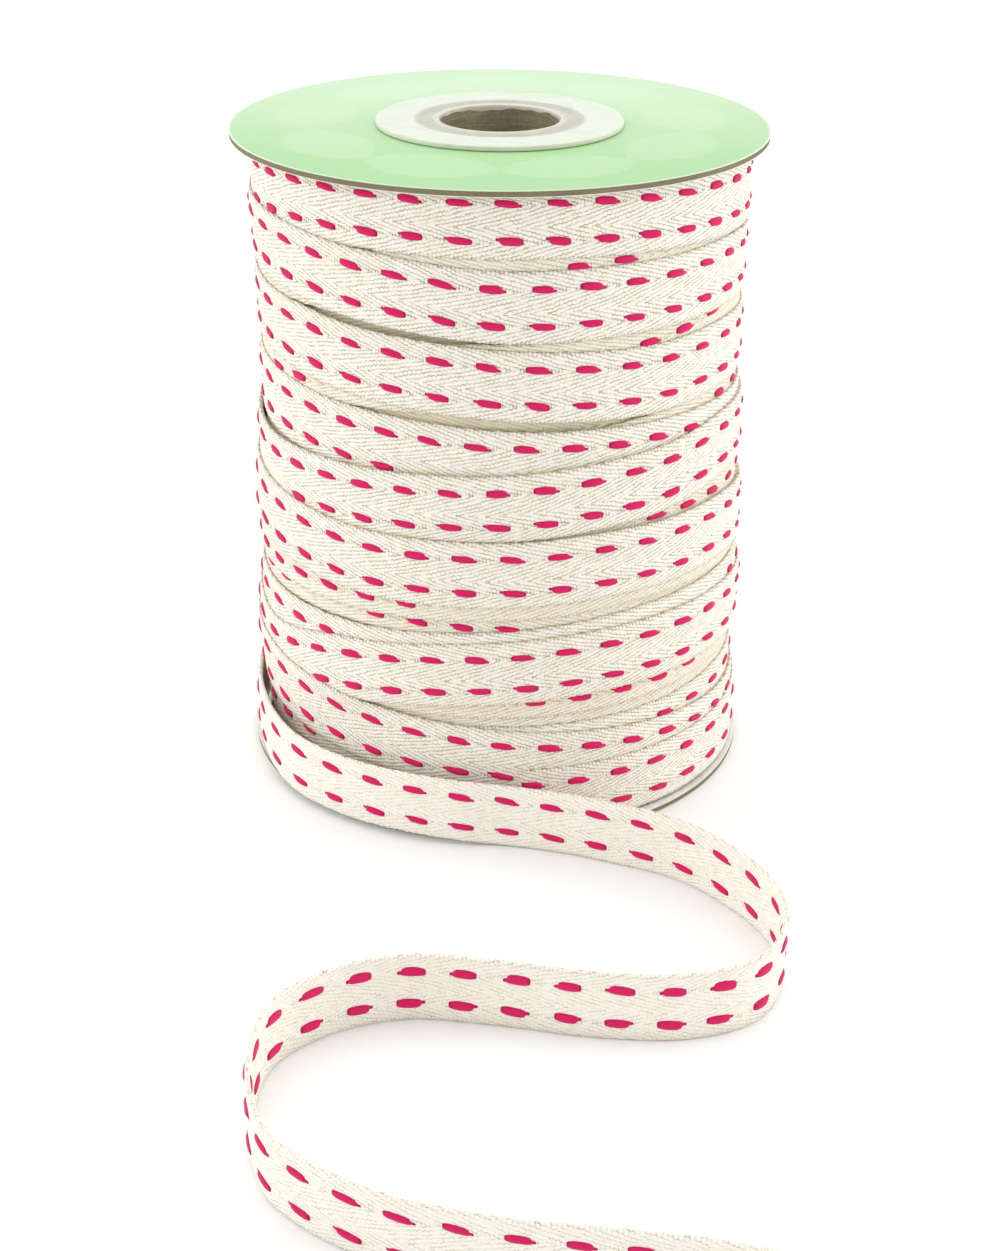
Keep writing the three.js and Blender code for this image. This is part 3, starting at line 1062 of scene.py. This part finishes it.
class RIBBON_OT_winding(bpy.types.Operator):
    """Build the wound ribbon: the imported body, the layer below and the outer winding"""

    bl_idname = "ribbon_roll.winding"
    bl_label = "Wound ribbon"

    def execute(self, context):
        settings = context.scene.ribbon_roll
        thickness = settings.thickness / MM
        cotton = cotton_material("cotton_tape", settings, 1.0)
        roll = Roll()
        rings = [self.hidden_turn(roll)]
        for middle_knots, sides, phases in UNDER_TURNS:
            rings.append((*self.ring(roll, middle_knots, sides), phases))
        angles, middles, nominal = winding_course()
        last = 360 * LAST_TURN
        outer = roll.lay(angles, middles, nominal, tucked=[last + a for a in TUCKED])
        end = int(np.argmin(np.abs(angles - (last + 180)))) + 1
        winding = wound_cloth(angles[:end], middles[:end], outer[:end])
        for cloth, ring_angles, _, _ in rings:
            cloth.crease = roll.crease(cloth, ring_angles)
        winding.crease = roll.crease(winding, angles[:end])
        State.roll = roll
        State.rings = rings
        State.winding = (winding, angles[:end], middles[:end])
        State.tail, State.tail_start = loose_cloth(
            angles[end - 1:], middles[end - 1:], outer[end - 1:], winding.along[-1]
        )

        self.packed_body(cotton)
        ribbon_piece("under_turns", [r[0] for r in rings], thickness, cotton)
        ribbon_piece("wound_ribbon", [winding], thickness, cotton, "ribbon_roll")
        return {"FINISHED"}

    @staticmethod
    def hidden_turn(roll):
        """The turn under the topmost one, without stitches: none of them shows."""
        angles = np.arange(HIDDEN_START["first"], 180.01, 360 / TURN_STEPS)
        middles = np.full(len(angles), HIDDEN_START["height"])
        left, right = HIDDEN_START["radius"]
        nominal = (left + right) / 2 + np.sin(np.radians(angles)) * (right - left) / 2
        outer = roll.lay(angles, middles, nominal)
        return wound_cloth(angles, middles, outer), angles, middles, None

    @staticmethod
    def ring(roll, middle_knots, sides):
        """A turn of the layer below, laid in fine steps and built in coarser ones."""
        angles, middles, nominal = ring_course(middle_knots, sides)
        fine = np.arange(TURN_STEPS) * 360 / TURN_STEPS - 180
        courses = [np.interp(fine, angles, course, period=360) for course in (middles, nominal)]
        outer = roll.lay(fine, *courses, closed=True)
        spread = np.stack([np.interp(angles, fine, level, period=360) for level in outer.T], 1)
        return wound_cloth(angles, middles, spread, closed=True), angles, middles

    @staticmethod
    def packed_body(material):
        """The body of earlier layers, seen only deep in the gaps."""
        heights = np.linspace(WOUND_BOTTOM, WOUND_TOP, 40)
        inside = TUBE_RADIUS + 0.3
        outline = [(inside, WOUND_BOTTOM), *zip(smooth_through(BED, heights), heights)]
        outline = np.array(outline + [(inside, WOUND_TOP)])
        a = np.radians(np.arange(BODY_STEPS) * 360 / BODY_STEPS)[:, None]
        r = outline[None, :, 0] + LEAN * np.sin(a) * (outline[:, 0] > inside)
        z = np.repeat(outline[None, :, 1], BODY_STEPS, 0)
        points = np.stack((r * np.sin(a), -r * np.cos(a), z), 2)
        count = len(outline)
        step = 1.8
        rise = 2.4
        faces, uv = [], []
        for i in range(BODY_STEPS):
            j = (i + 1) % BODY_STEPS
            for k in range(count):
                n = (k + 1) % count
                faces.append((i * count + k, j * count + k, j * count + n, i * count + n))
                low = outline[k, 1] % (2 * RIBBON_HALF) - RIBBON_HALF
                here, there, high = i * step, (i + 1) * step, low + rise
                uv += [(here, low), (there, low), (there, high), (here, high)]
        # Every point of the body takes the full painted shade of a deep crease
        body = new_mesh("packed_layers", points.reshape(-1, 3), faces, uv, np.ones(points[..., 0].size))
        dress(body, material, "cotton")


class RIBBON_OT_loose_end(bpy.types.Operator):
    """Build the loose end of the ribbon, standing on edge in an S"""

    bl_idname = "ribbon_roll.loose_end"
    bl_label = "Loose end"

    def execute(self, context):
        settings = context.scene.ribbon_roll
        cloth = need(State.tail, "winding")
        # The loose end's copy of the cotton has half the painted weave shade: painted light, as the
        # loose end stands in more light
        cotton = cotton_material("cotton_tape_loose", settings, 0.5)
        thickness = settings.thickness / MM
        tail = ribbon_piece("loose_ribbon", [cloth], thickness, cotton, "ribbon_tail")
        return {"FINISHED"}


class RIBBON_OT_stitches(bpy.types.Operator):
    """Sew the two rows of running stitches along the winding and the loose end"""

    bl_idname = "ribbon_roll.stitches"
    bl_label = "Stitches"

    def execute(self, context):
        settings = context.scene.ribbon_roll
        need(State.winding, "winding")
        thread = thread_material(settings)
        self.on_winding(settings, thread)
        self.on_rings(settings, thread)
        self.on_tail(settings, thread)
        return {"FINISHED"}

    @staticmethod
    def hidden(middle, angle, height, level):
        row, column = State.roll.place([tidy(angle)], np.array([middle + height]))
        return State.roll.reach[row[0], column[0]] > level + 0.3

    def sew_turn(self, stitches, cloth, angles, middles, turn, phases, pitch, limits):
        front = int(np.argmin(np.abs(angles - 360 * turn)))
        radius = float(np.linalg.norm(cloth.outer[front, len(ACROSS) // 2, :2]))
        apart = math.degrees(pitch / radius)
        for row, phase in zip((ROW_HEIGHT, -ROW_HEIGHT), phases):
            start = math.ceil((limits[0] - phase) / apart)
            stop = math.floor((limits[1] - phase) / apart)
            for n in range(start, stop + 1):
                angle = 360 * turn + phase + n * apart
                distance = float(np.interp(angle, angles, cloth.along[: len(angles)]))
                point, _ = cloth.at(np.array([distance]), np.array([row]))
                middle = float(np.interp(angle, angles, middles))
                level = float(np.linalg.norm(point[0, :2]))
                sides = [self.hidden(middle, angle + d, row, level) for d in (-2.4, 0, 2.4)]
                below = turn == LAST_TURN and row > 0
                below = below and TUCKED[0] < angle - 360 * turn < TUCKED[1]
                if not all(sides) and not below:
                    stitches.sew(cloth, distance, row)

    def on_winding(self, settings, thread):
        winding, angles, middles = State.winding
        stitches = Stitches(settings)
        for turn, (_, _, phases, pitch) in enumerate(OUTER_TURNS):
            self.sew_turn(stitches, winding, angles, middles, turn, phases, pitch, (-177, 177))
        stitches.piece("winding_stitches", thread)

    def on_rings(self, settings, thread):
        stitches = Stitches(settings)
        for cloth, angles, middles, phases in State.rings:
            if phases is not None:
                self.sew_turn(stitches, cloth, angles, middles, 0, phases, UNDER_PITCH, (-174, 174))
        stitches.piece("under_stitches", thread)

    def on_tail(self, settings, thread):
        cloth = State.tail
        thickness = settings.thickness / MM
        stitches = Stitches(settings)
        numbers, distances = np.array(STITCH_RUN, float).T
        for side, shift in ((1, 0.0), (-1, REVERSE_SHIFT)):
            for n in range(int(numbers[0]), int(numbers[-1]) + 1):
                distance = float(np.interp(n + shift, numbers, distances)) + State.tail_start
                if not cloth.along[0] + 2.5 < distance < cloth.along[-1] - 2.5:
                    continue
                if side < 0 and distance < State.tail_start + REVERSE_FROM:
                    continue
                for row in (ROW_HEIGHT, -ROW_HEIGHT):
                    stitches.sew(cloth, distance, row, side, thickness)
        stitches.piece("loose_stitches", thread)


class RIBBON_OT_discs(bpy.types.Operator):
    """Build the two card discs, each a board with a thin printed paper on its outer face"""

    bl_idname = "ribbon_roll.discs"
    bl_label = "Card discs"

    def execute(self, context):
        settings = context.scene.ribbon_roll
        # The discs' board keeps only 0.4 of its pale flecks: painted shade on their cut edge, darker
        # than the tube's
        board = board_material(settings, "disc_chipboard_in_shade", 0.4)
        liner = paper_material(settings)
        mint = print_material(settings)
        paper = 0.1
        for name, low, outwards in (("top", UPPER_FACE, 1), ("bottom", 0.0, -1)):
            high = low + DISC_THICKNESS
            inner_face = (low, low + paper) if outwards > 0 else (high - paper, high)
            outer_face = (high - paper, high) if outwards > 0 else (low, low + paper)
            core = (low + paper, high - paper)
            sheets = (
                ("_board", core, DISC_RADIUS - 0.08, board, "brown_card"),
                ("_liner", inner_face, DISC_RADIUS - 0.03, liner, "white_card"),
                ("_print", outer_face, DISC_RADIUS, mint, "mint_card"),
            )
            for suffix, (bottom, top), radius, material, slot in sheets:
                rings = (DISC_HOLE_RADIUS, DISC_HOLE_RADIUS + 12, radius)
                outline = [(r, bottom) for r in rings] + [(r, top) for r in reversed(rings)]
                piece = turned(name + "_disc" + suffix, outline, DISC_STEPS)
                if suffix == "_board":
                    roughened(piece, 1.2, 0.14)
                    dress(piece, material, slot, name + "_disc")
                else:
                    dress(piece, material, slot)
        return {"FINISHED"}


class RIBBON_OT_core(bpy.types.Operator):
    """Build the card tube and its torn inner ply at the mouth of the bore"""

    bl_idname = "ribbon_roll.core"
    bl_label = "Card tube"

    def execute(self, context):
        settings = context.scene.ribbon_roll
        board = board_material(settings, "tube_chipboard", 1.0)
        outline = [
            (BORE_RADIUS, WOUND_BOTTOM), (TUBE_RADIUS, WOUND_BOTTOM), (TUBE_RADIUS, WOUND_TOP),
            (BORE_RADIUS + 0.1, WOUND_TOP), (BORE_RADIUS, WOUND_TOP - 0.3),
        ]
        tube = turned("card_tube", outline, TUBE_STEPS)
        dress(tube, board, "brown_card", "core_tube")
        ply = [(8.28, 82.0), (8.52, 82.0), (8.52, 94.0), (8.5, 96.25), (8.34, 96.3), (8.28, 94.0)]
        lining = turned("torn_ply", ply, COLLAR_STEPS)
        active_only(lining)
        spots = np.array([v.co for v in lining.data.vertices])
        angle = np.arctan2(spots[:, 0], -(spots[:, 1] - AXIS_Y * MM))
        torn = 0.16 * np.sin(3 * angle + 1.0) + 0.1 * np.sin(7 * angle) + 0.08 * np.sin(17 * angle + 2)
        upper = spots[:, 2] > 96 * MM
        spots[upper, 2] += torn[upper] * MM
        lining.data.vertices.foreach_set("co", spots.ravel())
        lining.data.update()
        dress(lining, board, "brown_card")
        return {"FINISHED"}


class RIBBON_OT_collar(bpy.types.Operator):
    """Build the moulded plastic collar on the upper disc"""

    bl_idname = "ribbon_roll.collar"
    bl_label = "Plastic collar"

    def execute(self, context):
        settings = context.scene.ribbon_roll
        plastic = plastic_material(settings)
        flange = SPOOL_TOP + 0.02
        neck = DISC_HOLE_RADIUS - 0.3
        outline = [
            (BORE_RADIUS, UPPER_FACE + 0.05), (neck, UPPER_FACE + 0.05), (neck, flange),
            (COLLAR_RADIUS - 0.15, flange), (COLLAR_RADIUS, flange + 0.12),
            (COLLAR_RADIUS, COLLAR_TOP - 0.25), (COLLAR_RADIUS - 0.12, COLLAR_TOP - 0.08),
            (COLLAR_RADIUS - 0.4, COLLAR_TOP - 0.02), (COLLAR_RADIUS - 1.2, COLLAR_TOP - 0.05),
            (12.4, COLLAR_TOP - 0.05), (11.9, COLLAR_TOP - 0.12), (11.6, COLLAR_TOP - 0.4),
            (11.2, COLLAR_TOP - 0.5), (10.3, COLLAR_TOP - 0.5), (9.95, COLLAR_TOP - 0.35),
            (9.65, COLLAR_TOP - 0.1), (9.3, COLLAR_TOP), (8.95, COLLAR_TOP - 0.02),
            (8.7, COLLAR_TOP - 0.14), (BORE_RADIUS, COLLAR_TOP - 0.4),
        ]
        collar = turned("plastic_collar", outline, COLLAR_STEPS)
        dress(collar, plastic, "cloudy_plastic", "top_collar")
        return {"FINISHED"}


class RIBBON_OT_studio(bpy.types.Operator):
    """Set the pale floor, the soft lights and the camera"""

    bl_idname = "ribbon_roll.studio"
    bl_label = "Studio"

    def execute(self, context):
        scene = context.scene
        deselect()
        bpy.ops.mesh.primitive_plane_add(size=8, location=(0, 0, -0.00002))
        floor = bpy.context.active_object
        floor.name = "studio_floor"
        floor.data.materials.append(floor_material())

        world = bpy.data.worlds.new("Soft white room")
        world.use_nodes = True
        background = world.node_tree.nodes["Background"].inputs
        background["Color"].default_value = (1, 1, 1, 1)
        background["Strength"].default_value = 0.9
        scene.world = world

        middle = (0, AXIS_Y * MM, 0.05)
        for name, place, size, power in LIGHTS:
            soft_light(name, place, middle, size, power)

        data = bpy.data.cameras.new("Photo view")
        data.lens = CAMERA_LENS
        data.sensor_width = CAMERA_SENSOR
        data.clip_start = 0.01
        data.clip_end = 20
        camera = bpy.data.objects.new("Photo view", data)
        scene.collection.objects.link(camera)
        camera.matrix_world = Matrix.Translation(CAMERA_PLACE) @ camera_turn().to_4x4()
        scene.camera = camera
        scene.view_settings.view_transform = "Standard"
        return {"FINISHED"}


STEPS = (
    RIBBON_OT_winding,
    RIBBON_OT_loose_end,
    RIBBON_OT_stitches,
    RIBBON_OT_discs,
    RIBBON_OT_core,
    RIBBON_OT_collar,
    RIBBON_OT_studio,
)


class VIEW3D_PT_ribbon_roll(bpy.types.Panel):
    """Sizes and colours of the ribbon roll, and the steps that build it"""

    bl_idname = "VIEW3D_PT_ribbon_roll"
    bl_label = "Ribbon Roll"
    bl_space_type = "VIEW_3D"
    bl_region_type = "UI"
    bl_category = "Ribbon Roll"

    def draw(self, context):
        settings = context.scene.ribbon_roll
        for name in settings.bl_rna.properties.keys():
            if name not in ("rna_type", "name"):
                self.layout.prop(settings, name)
        for step in STEPS:
            self.layout.operator(step.bl_idname)


CLASSES = (RibbonRollSettings, *STEPS, VIEW3D_PT_ribbon_roll)


def register():
    for cls in CLASSES:
        bpy.utils.register_class(cls)
    bpy.types.Scene.ribbon_roll = bpy.props.PointerProperty(type=RibbonRollSettings)


def unregister():
    del bpy.types.Scene.ribbon_roll
    for cls in reversed(CLASSES):
        bpy.utils.unregister_class(cls)


def main():
    register()
    bpy.ops.ribbon_roll.winding()
    bpy.ops.ribbon_roll.loose_end()
    bpy.ops.ribbon_roll.stitches()
    bpy.ops.ribbon_roll.discs()
    bpy.ops.ribbon_roll.core()
    bpy.ops.ribbon_roll.collar()
    bpy.ops.ribbon_roll.studio()


if __name__ == "__main__":
    main()
